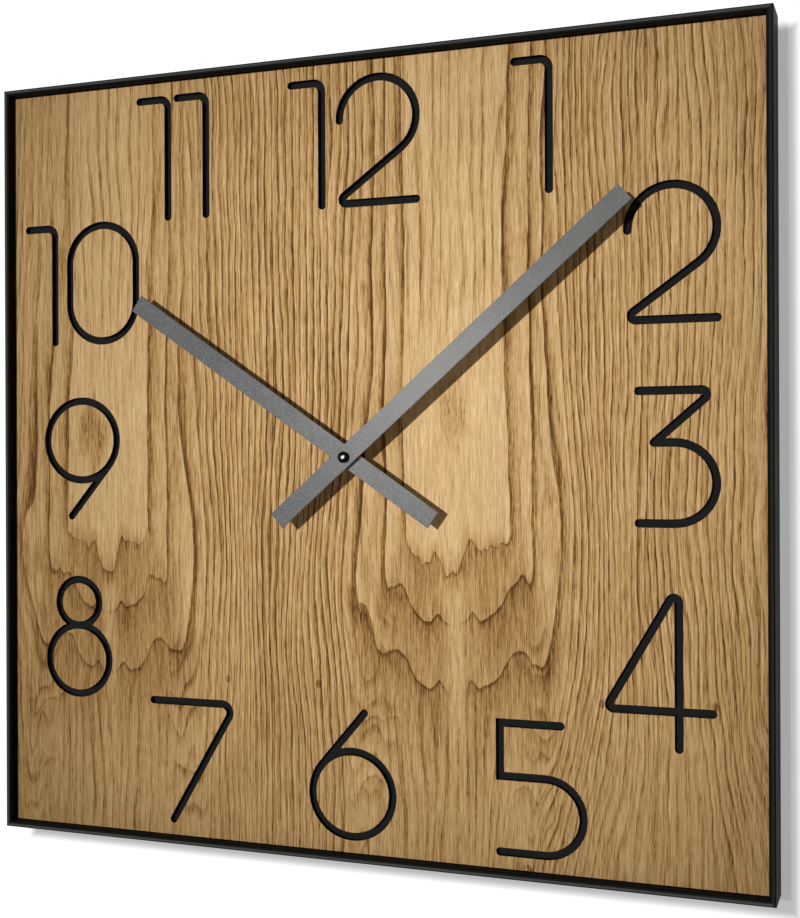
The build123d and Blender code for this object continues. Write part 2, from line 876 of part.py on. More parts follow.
wheel(
    "rotor_pinion",
    rotor_axis,
    [(arbor_radius, pivot_back, pivot_front)],
    [
        (
            rotor_teeth,
            rotor_module,
            facing(rotor_direction, rotor_teeth),
            rotor_pinion_back,
            rotor_pinion_back + pinion_length,
        )
    ],
)
wheel(
    "intermediate_wheel",
    intermediate_axis,
    [(arbor_radius, pivot_back, pivot_front)],
    [
        (
            intermediate_teeth,
            rotor_module,
            rotor_direction,
            intermediate_wheel_back,
            intermediate_wheel_back + wheel_thickness,
        ),
        (
            intermediate_pinion_teeth,
            seconds_module,
            facing(intermediate_direction, intermediate_pinion_teeth),
            intermediate_pinion_back,
            intermediate_pinion_back + pinion_length,
        ),
    ],
)
wheel(
    "seconds_wheel",
    (0, 0),
    [(seconds_arbor_radius, pivot_back, centre_wheel_back + seconds_arbor_reach)],
    [
        (
            seconds_teeth,
            seconds_module,
            intermediate_direction,
            seconds_wheel_back,
            seconds_wheel_back + wheel_thickness,
        ),
        (
            seconds_pinion_teeth,
            third_module,
            third_direction + 180 / seconds_pinion_teeth,
            seconds_wheel_back + wheel_thickness,
            seconds_pinion_back + pinion_length,
        ),
    ],
)
wheel(
    "third_wheel",
    third_axis,
    [(arbor_radius, pivot_back, pivot_front)],
    [
        (
            third_teeth,
            third_module,
            third_direction + 180,
            third_wheel_back,
            third_wheel_back + wheel_thickness,
        ),
        (
            third_pinion_teeth,
            centre_module,
            facing(third_direction, third_pinion_teeth),
            third_wheel_back + wheel_thickness,
            third_pinion_back + pinion_length,
        ),
    ],
)
wheel(
    "centre_wheel",
    (0, 0),
    [],
    [
        (
            centre_teeth,
            centre_module,
            third_direction,
            centre_wheel_back,
            centre_wheel_back + wheel_thickness,
        )
    ],
    bore=minute_arbor_radius + running,
)
wheel(
    "minute_arbor",
    (0, 0),
    [
        (minute_arbor_radius, centre_wheel_back - layer_gap / 2, minute_hand_front),
        (thread_radius, minute_hand_front, minute_hand_front + thread_length),
    ],
    [
        (
            cannon_teeth,
            cannon_module,
            motion_direction,
            centre_wheel_back + wheel_thickness + running,
            cannon_back + pinion_length,
        )
    ],
    bore=seconds_arbor_radius + running,
)
wheel(
    "motion_wheel",
    motion_axis,
    [(arbor_radius, pivot_back - knob_height - layer_gap / 2, pivot_front)],
    [
        (
            motion_teeth,
            cannon_module,
            facing(motion_direction, motion_teeth),
            motion_wheel_back,
            motion_wheel_back + wheel_thickness,
        ),
        (
            motion_pinion_teeth,
            hour_module,
            facing(motion_direction, motion_pinion_teeth),
            motion_pinion_back,
            motion_pinion_back + pinion_length,
        ),
    ],
)
wheel(
    "hour_wheel",
    (0, 0),
    [(hour_pipe_radius, hour_wheel_back, hour_hand_front)],
    [
        (
            hour_teeth,
            hour_module,
            motion_direction,
            hour_wheel_back,
            hour_wheel_back + wheel_thickness,
        )
    ],
    bore=minute_arbor_radius + running,
)


# ---------------------------------------------------------------- stepping motor
coil_middle = rotor_axis[0] - coil_offset
core_length = coil_length + 2 * (bobbin_flange + bobbin_lip + leg_width)
leg_middles = [coil_middle + side * (core_length - leg_width) / 2 for side in (-1, 1)]
coil_z = inner_top - coil_gap - bobbin_lip - coil_radius
bar_bottom = rotor_axis[1] - magnet_radius - leg_width  # of the stator's bar around the magnet
bar_top = rotor_axis[1] + magnet_radius + leg_width
leg_top = coil_z + core_width / 2
gear_clearance = magnet_gap + tooth_tip * seconds_module
core_middle_height = core_back + sheet_thickness / 2

with BuildPart() as magnet:
    with BuildSketch(layer(magnet_back)):
        with Locations(rotor_axis):
            Circle(magnet_radius)
            Circle(arbor_radius, mode=Mode.SUBTRACT)
    block(0, magnet_height)
save(magnet.part, "rotor_magnet")

with BuildPart() as stator:
    with BuildSketch(layer(stator_back)):
        with Locations((coil_middle, (bar_bottom + bar_top) / 2)):
            Rectangle(core_length, bar_top - bar_bottom)
        for x in leg_middles:
            with Locations((x, (bar_bottom + leg_top) / 2)):
                Rectangle(leg_width, leg_top - bar_bottom)
        with Locations(rotor_axis):
            Circle(magnet_radius + magnet_gap, mode=Mode.SUBTRACT)
        Circle(seconds_module * seconds_teeth / 2 + gear_clearance, mode=Mode.SUBTRACT)
        with Locations(third_axis):
            Circle(third_module * third_teeth / 2 + gear_clearance, mode=Mode.SUBTRACT)
        with Locations(intermediate_axis):
            pinion_radius = seconds_module * intermediate_pinion_teeth / 2
            Circle(pinion_radius + gear_clearance, mode=Mode.SUBTRACT)
    block(0, sheet_thickness)
save(stator.part, "stator")

with BuildPart() as core:
    with BuildSketch(layer(core_back)):
        with Locations((coil_middle, coil_z)):
            Rectangle(core_length, core_width)
    block(0, sheet_thickness)
save(core.part, "coil_core")

coil_start = coil_middle - coil_length / 2
coil_section = Plane(
    origin=(coil_start, -core_middle_height, coil_z), x_dir=(0, 1, 0), z_dir=(1, 0, 0)
)
with BuildPart() as bobbin:
    with BuildSketch(coil_section):
        Circle(bobbin_radius)
    extrude(amount=coil_length)
    for start in (-bobbin_flange, coil_length):
        with BuildSketch(coil_section.offset(start)):
            Circle(coil_radius + bobbin_lip)
        extrude(amount=bobbin_flange)
    with BuildSketch(coil_section.offset(-bobbin_flange)):
        Rectangle(sheet_thickness, core_width)
    extrude(amount=coil_length + 2 * bobbin_flange, mode=Mode.SUBTRACT)
save(bobbin.part, "coil_bobbin")

with BuildPart() as winding:
    with BuildSketch(coil_section):
        Circle(coil_radius)
        Circle(bobbin_radius, mode=Mode.SUBTRACT)
    extrude(amount=coil_length)
save(winding.part, "coil_winding")

# ---------------------------------------------------------------- circuit
circuit_front = circuit_back + circuit_thickness
with BuildPart() as circuit:
    with BuildSketch(layer(circuit_back)):
        with Locations(circuit_middle):
            Rectangle(circuit_width, circuit_height)
    block(circuit_back, circuit_front)
save(circuit.part, "circuit_board")

with BuildPart() as blob:
    with BuildSketch(layer(circuit_back - blob_height)):
        with Locations((circuit_middle[0] + blob_offset, circuit_middle[1])):
            Circle(blob_radius)
    block(0, blob_height)
    fillet(blob.faces().sort_by(Axis.Y)[-1].edges(), blob_round)
save(blob.part, "chip_blob")

crystal_start = (circuit_middle[0] - crystal_offset, circuit_middle[1] - crystal_length / 2)
with BuildPart() as crystal:
    base = (crystal_start[0], -(circuit_back - crystal_radius), crystal_start[1])
    with BuildSketch(Plane(origin=base, z_dir=(0, 0, 1))):
        Circle(crystal_radius)
    extrude(amount=crystal_length)
    fillet(crystal.faces().sort_by(Axis.Z)[-1].edges(), crystal_round)
save(crystal.part, "quartz_crystal")

# ---------------------------------------------------------------- setting knob
knob_back = plate_back - knob_height - layer_gap / 2
with BuildPart() as knob:
    with BuildSketch(layer(knob_back)):
        with Locations(motion_axis):
            Circle(knob_radius)
            Circle(arbor_radius, mode=Mode.SUBTRACT)
            with PolarLocations(knob_radius, knurls):
                Circle(knurl_radius, mode=Mode.SUBTRACT)
    block(0, knob_height)
save(knob.part, "setting_knob")

# ---------------------------------------------------------------- battery and its contacts
battery_start = -battery_length / 2
cell_end = Plane(
    origin=(battery_start, -battery_height, battery_middle), x_dir=(0, 1, 0), z_dir=(1, 0, 0)
)
with BuildPart() as battery:
    with BuildSketch(cell_end):
        Circle(battery_radius)
    extrude(amount=battery_length - battery_tip)
    chamfer(battery.edges().filter_by(GeomType.CIRCLE), battery_edge)
    with BuildSketch(cell_end.offset(battery_length - battery_tip)):
        Circle(battery_tip_radius)
    extrude(amount=battery_tip)
save(battery.part, "battery")

contact_reach = contact_room - contact_thickness - battery_gap
for name, side in (("negative_contact", -1), ("positive_contact", 1)):
    wall = Plane(
        origin=(side * inner_width / 2, -battery_height, battery_middle),
        x_dir=(0, 1, 0),
        z_dir=(-side, 0, 0),
    )
    with BuildPart() as contact:
        with BuildSketch(wall):
            Rectangle(contact_height, contact_width)
        extrude(amount=contact_thickness)
        with BuildSketch(wall.offset(contact_thickness)):
            Circle(contact_bump)
        extrude(amount=contact_reach, taper=contact_taper)
    save(contact.part, name)
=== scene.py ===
"""Looks of the square wall clock: materials, small pieces, lamps and the camera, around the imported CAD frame.

Everything is in metres in the frame's own axes: X to the viewer's right, Z up, the wall at Y = 0 and the
viewer on the -Y side.  Inside the materials, places are in millimetres.
"""

import json
import math

import bmesh
import bpy
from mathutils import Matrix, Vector


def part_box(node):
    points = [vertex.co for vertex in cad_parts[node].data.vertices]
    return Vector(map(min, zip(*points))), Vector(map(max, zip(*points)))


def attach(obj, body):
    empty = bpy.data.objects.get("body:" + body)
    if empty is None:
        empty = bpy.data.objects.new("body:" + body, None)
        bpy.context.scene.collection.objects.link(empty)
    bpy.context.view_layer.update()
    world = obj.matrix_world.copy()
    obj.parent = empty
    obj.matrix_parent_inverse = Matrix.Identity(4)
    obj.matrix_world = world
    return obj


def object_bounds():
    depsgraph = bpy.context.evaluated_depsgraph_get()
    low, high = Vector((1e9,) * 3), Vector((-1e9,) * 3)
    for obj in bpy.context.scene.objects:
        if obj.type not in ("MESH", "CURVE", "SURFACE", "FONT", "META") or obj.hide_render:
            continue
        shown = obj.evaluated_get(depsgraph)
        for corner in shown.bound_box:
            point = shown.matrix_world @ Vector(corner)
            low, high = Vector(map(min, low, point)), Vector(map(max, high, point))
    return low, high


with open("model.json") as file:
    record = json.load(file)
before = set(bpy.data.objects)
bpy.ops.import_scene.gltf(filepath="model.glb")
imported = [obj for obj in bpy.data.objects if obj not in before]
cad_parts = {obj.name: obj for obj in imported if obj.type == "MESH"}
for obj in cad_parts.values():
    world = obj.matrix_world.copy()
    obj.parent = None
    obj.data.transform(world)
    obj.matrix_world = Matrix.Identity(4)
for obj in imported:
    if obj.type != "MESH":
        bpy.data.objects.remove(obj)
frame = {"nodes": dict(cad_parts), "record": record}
cad_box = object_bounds()
nodes = frame["nodes"]

# ---------------------------------------------------------------- sizes of the scene, in metres
CAMERA_PLACE = (0.32594, -0.90589, -0.00093)
CAMERA_TURN = (89.999, 0.211, 23.018)  # degrees
CAMERA_LENS = 59.49
CAMERA_SHIFT = 0.1307

KEY_DIRECTION = (-0.185, -1.0, 0.11)  # from the clock towards the key lamp
KEY_STRENGTH = 2.68
KEY_ANGLE = 2.0  # degrees across
AMBIENT = 0.06
BACK_DIRECTION = (-0.35, 1.0, 0.14)  # from the clock towards the lamp that lights its back
BACK_STRENGTH = 2.6
BACK_ANGLE = 20.0
SIDE_DIRECTION = (1.0, 0.08, 0.15)  # towards the lamp that lights the right side and not the dial
SIDE_STRENGTH = 0.8
SIDE_ANGLE = 8.0

WALL_GAP = 0.001
WALL_SIZE = 6.0
WALL_GREY = 0.13
WALL_GLOW = 0.37  # how much of its white the wall shines itself, inside the soft shadow of the clock painted on it
SHADOW_SHIFT = (6, 9)  # of that painted shadow, to the right and down, in mm
SHADOW_FADE = 8  # mm, over which the painted shadow fades out
FLOOR_DROP = 0.62  # of the floor, below the middle of the clock
FLOOR_GREY = 0.82
FLOOR_GLOW = 0.5


# ---------------------------------------------------------------- node trees
def shade(red, green, blue):
    """A colour given as it looks on screen, 0 to 255, as the numbers that a shader takes."""
    linear = []
    for value in (red, green, blue):
        value /= 255
        linear.append(value / 12.92 if value <= 0.04045 else ((value + 0.055) / 1.055) ** 2.4)
    return (*linear, 1.0)


class Value:
    """A number that varies over a surface.  Arithmetic on it adds math nodes."""

    def __init__(self, paint, socket):
        self.paint = paint
        self.socket = socket

    def __add__(self, other):
        return self.paint.math("ADD", self, other)

    def __sub__(self, other):
        return self.paint.math("SUBTRACT", self, other)

    def __rsub__(self, other):
        return self.paint.math("SUBTRACT", other, self)

    def __mul__(self, other):
        return self.paint.math("MULTIPLY", self, other)

    def __truediv__(self, other):
        return self.paint.math("DIVIDE", self, other)

    def __rtruediv__(self, other):
        return self.paint.math("DIVIDE", other, self)

    def __pow__(self, other):
        return self.paint.math("POWER", self, other)

    def __lt__(self, other):
        return self.paint.math("LESS_THAN", self, other)

    def __gt__(self, other):
        return self.paint.math("GREATER_THAN", self, other)

    __radd__ = __add__
    __rmul__ = __mul__

    def abs(self):
        return self.paint.math("ABSOLUTE", self)

    def exponent(self):
        return self.paint.math("EXPONENT", self)

    def at_least(self, other):
        return self.paint.math("MAXIMUM", self, other)

    def at_most(self, other):
        return self.paint.math("MINIMUM", self, other)

    def fraction(self):
        return self.paint.math("FRACT", self)

    def floor(self):
        return self.paint.math("FLOOR", self)

    def ramp(self, start, end):
        """0 up to start, 1 from end on, and smooth between."""
        return self.paint.smooth(self, start, end)


class Paint:
    """A material whose nodes are built from the inside out."""

    def __init__(self, name):
        self.material = bpy.data.materials.new(name)
        self.material.use_nodes = True
        self.tree = self.material.node_tree
        self.tree.nodes.clear()
        self.seed = 0.0

    def node(self, kind, inputs=None, **settings):
        made = self.tree.nodes.new(kind)
        for key, setting in settings.items():
            setattr(made, key, setting)
        for key, value in (inputs or {}).items():
            self.feed(made.inputs[key], value)
        return made

    def feed(self, socket, value):
        if isinstance(value, Value):
            self.tree.links.new(value.socket, socket)
        elif isinstance(value, bpy.types.NodeSocket):
            self.tree.links.new(value, socket)
        else:
            socket.default_value = value

    def math(self, operation, *values):
        made = self.tree.nodes.new("ShaderNodeMath")
        made.operation = operation
        for socket, value in zip(made.inputs, values):
            self.feed(socket, value)
        return Value(self, made.outputs[0])

    def smooth(self, value, start, end):
        inputs = {"Value": value, "From Min": start, "From Max": end}
        made = self.node("ShaderNodeMapRange", inputs, interpolation_type="SMOOTHSTEP")
        return Value(self, made.outputs[0])

    def place(self):
        """The place on the object in millimetres, as three values."""
        spot = self.node("ShaderNodeTexCoord").outputs["Object"]
        parts = self.node("ShaderNodeSeparateXYZ", {0: spot}).outputs
        return [self.math("MULTIPLY", part, 1000.0) for part in parts]

    def facing(self):
        """How much the surface faces along X, Y and Z."""
        normal = self.node("ShaderNodeNewGeometry").outputs["True Normal"]
        return [Value(self, part) for part in self.node("ShaderNodeSeparateXYZ", {0: normal}).outputs]

    def noise(self, x, y, z, detail=0.0, roughness=0.5):
        """Smooth noise about 0, between -0.5 and 0.5, another pattern at each call."""
        self.seed += 17.3
        spot = self.node("ShaderNodeCombineXYZ", {0: x + self.seed, 1: y, 2: z}).outputs[0]
        inputs = {"Vector": spot, "Scale": 1.0, "Detail": detail, "Roughness": roughness}
        made = self.node("ShaderNodeTexNoise", inputs, noise_dimensions="3D")
        return self.math("SUBTRACT", made.outputs[0], 0.5)

    def random(self, value):
        """One random number between 0 and 1 for each whole value."""
        made = self.node("ShaderNodeTexWhiteNoise", {"W": value}, noise_dimensions="1D")
        return Value(self, made.outputs[0])

    def blend(self, factor, low, high, mode="MIX"):
        made = self.node("ShaderNodeMix", data_type="RGBA", blend_type=mode)
        for key, value in ((0, factor), (6, low), (7, high)):
            self.feed(made.inputs[key], value)
        return made.outputs[2]

    def colours(self, factor, *stops):
        made = self.node("ShaderNodeValToRGB", {0: factor})
        points = made.color_ramp.elements
        while len(points) < len(stops):
            points.new(0.5)
        for point, (position, colour) in zip(points, stops):
            point.position = position
            point.color = colour
        return made.outputs[0]

    def bump(self, height, distance, strength=1.0):
        """A bump whose height value of 1 stands distance millimetres proud."""
        inputs = {"Height": height, "Distance": distance / 1000, "Strength": strength}
        return self.node("ShaderNodeBump", inputs).outputs[0]

    def finish(self, colour, roughness, **sockets):
        inputs = {"Base Color": colour, "Roughness": roughness}
        inputs.update({key.replace("_", " "): value for key, value in sockets.items()})
        shader = self.node("ShaderNodeBsdfPrincipled", inputs)
        self.node("ShaderNodeOutputMaterial", {0: shader.outputs[0]})
        return self.material


# ---------------------------------------------------------------- materials
# the cathedrals of the oak: a bare tongue with rings beside it, which close one below the other
OAK_MIDDLES = (-173.0, 64.0, 301.0)  # of the tongues; the last lies beyond the dial, which shows its rings
OAK_TONGUE = 31.0  # half the width of a tongue
OAK_RINGS = ((31.0, 13.0), (44.0, 8.0), (60.0, 4.8))  # from this far out on, the rings are this far apart
# the waves in the grain: their width and height, and how far they move it
OAK_WAVES = ((60, 170, 14), (18, 60, 4), (5, 17, 1.4), (2.2, 9, 0.5))
OAK_FOOT = -48.0  # height where a tongue starts to close
OAK_CLOSING = 47.0  # along the grain, from one closed ring to the next
OAK_FAN_MIDDLE = 188.0
OAK_FAN = 0.4  # how strongly the grain spreads from there towards the foot of the dial
OAK_BULGE = 14.0  # how far the rings beside a tongue bow out at its foot
OAK_BULGE_HEIGHT = -62.0
OAK_BULGE_REACH = 75.0
# the dark flame inside a tongue: where it is, how wide and how strong
OAK_FLAMES = ((OAK_MIDDLES[1], 28, 10, 1.0), (OAK_MIDDLES[0] - 12, 16, 13, 1.5))
OAK_FLAME_LENGTH = 24
OAK_KNOTS = ((-86.5, -142), (-24, -142), (153, -144), (217, -142))
OAK_COLOURS = (
    (0.0, shade(84, 54, 22)),
    (0.2, shade(120, 80, 38)),
    (0.4, shade(167, 126, 75)),
    (0.58, shade(198, 159, 106)),
    (0.78, shade(221, 185, 134)),
    (1.0, shade(242, 210, 161)),
)
OAK_PAINTED_LIGHT_MIDDLE = (27, 45)  # the middle of the pool of light painted on the dial, round which the oak is painted brightest
OAK_PAINTED_LIGHT_REACH = 245
OAK_PALE = 0.71  # the tone of bare wood, from 0, darkest, to 1, palest


def oak():
    paint = Paint("oak")
    x, y, z = paint.place()

    def drift(width, height, detail=0.0):
        return paint.noise(x / width, y / width, z / height, detail)

    # how far the place is from the middle of its cathedral, with the bulge beside the tongue
    grain = x
    for width, height, reach in OAK_WAVES:
        grain = grain + drift(width, height) * reach
    # low on the right the rings fan out
    grain = grain + (OAK_FAN_MIDDLE - x) * (0 - z).ramp(115, 270) * x.ramp(60, 130) * OAK_FAN
    off = (grain - OAK_MIDDLES[0]).abs()
    for middle in OAK_MIDDLES[1:]:
        off = off.at_most((grain - middle).abs())
    level = (z - OAK_BULGE_HEIGHT) / OAK_BULGE_REACH
    bulge = 1 / (level * level + 1)
    off = off - bulge * off.ramp(46, 68) * (1 - off.ramp(85, 120)) * (1 - x.ramp(140, 210)) * OAK_BULGE

    # the rings beside the tongue, counted outwards
    rings = (off / OAK_TONGUE).at_most(1.0) ** 4
    density = 0.0
    for start, spacing in OAK_RINGS:
        rings = rings + (off - start).at_least(0.0) * (1 / spacing - density)
        density = 1 / spacing

    # how they close below the foot: a pale streak runs down the middle, and each ring rises beside it
    middle = (off - 2).abs()
    streak = (middle * middle * -0.06).exponent()
    notch = (middle - 8) * 0.35
    notch = (notch * notch * -1).exponent()
    first = z.ramp(-95, -72)
    ragged = (drift(14, 300) * 13 + drift(3, 22) * 5) * (first + 0.5) + notch * 6 - streak * first * 13
    outer = (off - OAK_TONGUE).at_least(0.0)
    drop = (OAK_FOOT - outer * outer * 0.09 - z + ragged).at_least(0.0)
    depth = outer * 2 + 12
    closed = (drop / depth).at_most(1.0)
    below = (drop - depth).at_least(0.0)
    closing = closed * closed * (1 - rings.at_most(1.0) * 0.5) + below.at_most(90) / OAK_CLOSING + below / 300
    phase = rings + closing + drift(24, 80) * off.ramp(35, 60) * 0.9
    closed = closed * (1 - off.ramp(45, 90))
    streak = streak * drop.ramp(15, 40)

    # a painted pool of light and shade: the oak is painted brightest near its middle and darker towards its
    # edges and its foot
    across = (x - OAK_PAINTED_LIGHT_MIDDLE[0]) / OAK_PAINTED_LIGHT_REACH
    up = (z - OAK_PAINTED_LIGHT_MIDDLE[1]) / OAK_PAINTED_LIGHT_REACH
    edge = ((across * across + up * up) * -0.37).exponent()

    # each ring starts with a dark pored line and grows paler; where the rings are wide the line isn't
    step = phase.fraction()
    chance = paint.random(phase.floor()) * 0.5 + 0.75
    core = (1 - step * (closed * 9 + 3.5)).at_least(0.0) * step.ramp(0.0, 0.08 - closed * 0.06)
    early = (1 - step) * (1 - step)
    strength = chance.at_least(1.2 - phase.floor() * 0.2) * phase.ramp(0.9, 1) * (1 - streak * 0.9)
    strength = strength * (drift(12, 110) * 1.2 + 1.0).at_least(0.6).at_most(1.25)
    # the lines also weaken towards the foot and the right, and where the painted pool of light is dim
    strength = strength * (1 - (0 - z).ramp(110, 190) * 0.3 - x.ramp(90, 200) * 0.2) * (edge * 0.75 + 0.42)
    strength = strength * (1 - z.ramp(40, 130) * (0 - x).ramp(60, 120) * 0.4)
    line = core * strength
    soft = early * strength * (1 - closed * 0.6)
    beside = off.ramp(28, 55)
    fine_step = (phase * 1.9 + drift(9, 60) * 1.8).fraction()
    fine = (1 - fine_step * 2.2).at_least(0.0) * fine_step.ramp(0.0, 0.15) * beside
    # far above and below the bare tongue its middle has thin lines too
    above = (1 - beside) * (z.ramp(45, 115) + (0 - z).ramp(130, 185))
    inner_step = (grain / 7.0 + drift(20, 90) * 2).fraction()
    fine = fine + (1 - inner_step * 2.2).at_least(0.0) * inner_step.ramp(0.0, 0.1) * above * 1.3
    fine = fine * (drift(20, 70) * 2 + 0.9).at_least(0.0)

    # a dark flame inside each tongue, and a few pin knots
    flame = 0.0
    for middle, height, width, dark in OAK_FLAMES:
        across = (x - middle) / width
        up = (z - height + drift(3, 26) * 26) / OAK_FLAME_LENGTH
        flame = (1 - (across * across + up * up)).ramp(-0.3, 1.0) * dark + flame
    knot = 0.0
    for middle, height in OAK_KNOTS:
        across = x - middle
        up = (z - height) * 0.7
        knot = (1 - (across * across + up * up) / 3.5).ramp(-0.6, 0.7) + knot

    fibre = drift(0.5, 14, 1.0) * 1.2 + drift(0.8, 6, 1.0) * 0.6 + drift(1.6, 34, 1.0) * 0.5
    pore = drift(0.5, 5, 1.0).ramp(0.05, 0.2) * (line + soft * 0.7 + fine * 0.5 + flame + 0.2)
    cloud = drift(45, 120, 1.0)

    tone = OAK_PALE - line * (closed * 0.05 + 0.17) - soft * 0.34 - fine * 0.26
    tone = tone + fibre * 0.6 - pore * (closed * 0.2 + 0.2) + cloud * 0.2
    tone = tone - closed * (1 - streak) * z.ramp(-200, -130) * 0.19 - flame * 0.17 - knot * 0.3
    tone = tone + (1 - beside) * (1 - closed) * 0.03
    colour = paint.colours(tone, *OAK_COLOURS)

    # painted light and shade: the colour is multiplied darker away from the middle of the painted pool of light
    painted_light_pool = paint.colours(edge, (0.35, (0.37, 0.34, 0.26, 1)), (1.0, (1.0, 1.0, 1.0, 1)))
    colour = paint.blend(1.0, colour, painted_light_pool, "MULTIPLY")

    # the back is bare board, and the walls of the numerals are painted black
    facing = paint.facing()[1]
    bare_tone = 0.5 + fibre * 0.4 + cloud * 0.4
    bare = paint.colours(bare_tone, (0.2, shade(150, 124, 90)), (0.8, shade(176, 150, 114)))
    colour = paint.blend(facing > 0.5, colour, bare)
    colour = paint.blend(facing.abs() < 0.5, colour, shade(9, 9, 10))
    rough = 0.62 + fibre * 0.15
    normal = paint.bump(fibre - line * 0.8 - pore * 0.5, 0.1)
    return paint.finish(colour, rough, Normal=normal, Specular_IOR_Level=0.08)


def flecked(name, colour, roughness, metallic=0.0, grain=0.4, change=0.12, depth=0.01):
    """A moulded, coated or plated surface: one colour with a fine grain in colour, gloss and height."""
    paint = Paint(name)
    x, y, z = paint.place()
    fine = paint.noise(x / grain, y / grain, z / grain, 2.0)
    broad = paint.noise(x / 30, y / 30, z / 30, 2.0)
    factor = 0.5 + fine + broad * 0.5
    low = tuple(part * (1 - change) for part in colour[:3])
    high = tuple(min(1.0, part * (1 + change)) for part in colour[:3])
    tone = paint.colours(factor, (0.2, (*low, 1.0)), (0.8, (*high, 1.0)))
    rough = roughness + fine * 0.12 + broad * 0.12
    normal = paint.bump(fine, depth)
    return paint.finish(tone, rough, Metallic=metallic, Normal=normal)


def frame_black():
    paint = Paint("frame_black")
    x, y, z = paint.place()
    fine = paint.noise(x / 0.5, y / 0.5, z / 0.5, 2.0)
    broad = paint.noise(x / 25, y / 25, z / 25, 2.0)
    mitre = (x.abs() - z.abs()).abs() < 0.16
    colour = paint.colours(0.5 + fine + broad, (0.2, shade(9, 9, 9)), (0.8, shade(18, 18, 18)))
    # a painted highlight: a paler line runs along the middle of the lip's flat front, weakest on the right bar
    flat = (0 - paint.facing()[1]).ramp(0.9, 0.99)
    inwards = cad_box[1].x * 1000 - x.abs().at_least(z.abs())
    painted_highlight = (1 - ((inwards - 1.5) / 1.1).abs()).ramp(0, 0.7) * (1 + fine)
    right_bar = x > z.abs()
    colour = paint.blend(flat * painted_highlight * (1 - right_bar * 0.8), colour, shade(66, 67, 66))
    colour = paint.blend(mitre, colour, shade(6, 6, 6))
    rough = 0.5 + fine * 0.1 + broad * 0.15
    normal = paint.bump(fine * 0.4 - mitre, 0.05)
    return paint.finish(colour, rough, Normal=normal, Specular_IOR_Level=0.02)


def hand_grey():
    paint = Paint("hand_grey")
    x, y, z = paint.place()
    spark = paint.noise(x / 0.8, y / 0.8, z / 0.8, 2.0, 0.7)
    broad = paint.noise(x / 14, y / 14, z / 14, 2.0)
    # a painted sheen: the grey is painted paler round a place up and to the right of the hub, where the key
    # lamp's reflection lies
    across = (x - 50) / 85
    up = (z - 45) / 85
    painted_sheen = ((across * across + up * up) * -1).exponent()
    tone = 0.1 + painted_sheen * 0.6 + spark * 1.3 + broad * 0.2
    colour = paint.colours(tone, (0.0, shade(80, 81, 82)), (1.0, shade(160, 161, 160)))
    rough = 0.5 + spark * 0.3
    normal = paint.bump(spark, 0.03)
    return paint.finish(colour, rough, Normal=normal, Specular_IOR_Level=0.15)


def nut_black():
    """Black enamel, with a spot of bright metal painted just beside the top of the cap nut's dome, where the
    key lamp's highlight falls: a painted highlight.
    """
    paint = Paint("nut_black")
    x, y, z = paint.place()
    fine = paint.noise(x / 0.4, y / 0.4, z / 0.4, 2.0)
    # the painted highlight: a spot of bright metal a little to the right of the nut's axis
    aside = x - 0.35
    highlight_spot = 1 - (aside * aside + z * z).ramp(0.5, 1.9)
    colour = paint.colours(0.5 + fine, (0.2, shade(7, 7, 7)), (0.8, shade(10, 10, 10)))
    colour = paint.blend(highlight_spot, colour, shade(104, 104, 106))
    rough = 0.16 + highlight_spot * 0.14 + fine * 0.04
    normal = paint.bump(fine, 0.002)
    return paint.finish(colour, rough, Metallic=highlight_spot, Normal=normal, Specular_IOR_Level=0.06)


CELL_RIM_MINUS = 0.5  # from each end of the cell to the rim of its sleeve
CELL_RIM_PLUS = 1.6
CELL_SHOULDER = 15  # from its positive end to where the copper colour stops


def cell_jacket():
    """A plain sleeved cell: copper coloured shoulder, black body, bare steel ends."""
    paint = Paint("cell_jacket")
    x, y, z = paint.place()
    low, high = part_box("battery")
    start, end = low.x * 1000, high.x * 1000
    fine = paint.noise(x / 0.4, y / 0.4, z / 0.4, 2.0)
    sleeve = (x > start + CELL_RIM_MINUS) * (x < end - CELL_RIM_PLUS)
    shoulder = x > end - CELL_SHOULDER
    jacket = paint.blend(shoulder, shade(26, 27, 30), shade(172, 104, 52))
    colour = paint.blend(sleeve, shade(190, 190, 188), jacket)
    rough = 0.28 + fine * 0.15
    return paint.finish(colour, rough, Metallic=0.6, Normal=paint.bump(fine, 0.01))


def board():
    paint = Paint("board_black")
    x, y, z = paint.place()
    fine = paint.noise(x / 0.5, y / 0.5, z / 0.5, 3.0, 0.6)
    broad = paint.noise(x / 18, y / 18, z / 18, 3.0)
    colour = paint.colours(0.5 + fine + broad * 0.7, (0.2, shade(24, 24, 25)), (0.8, shade(42, 42, 43)))
    # the front, seen at the bottom of the numerals, is painted darker than the back: painted shade in the
    # hollows of the numerals
    colour = paint.blend((paint.facing()[1] < -0.5) * 0.78, colour, shade(6, 6, 6))
    return paint.finish(colour, 0.75 + fine * 0.1, Normal=paint.bump(fine, 0.05), Specular_IOR_Level=0.12)


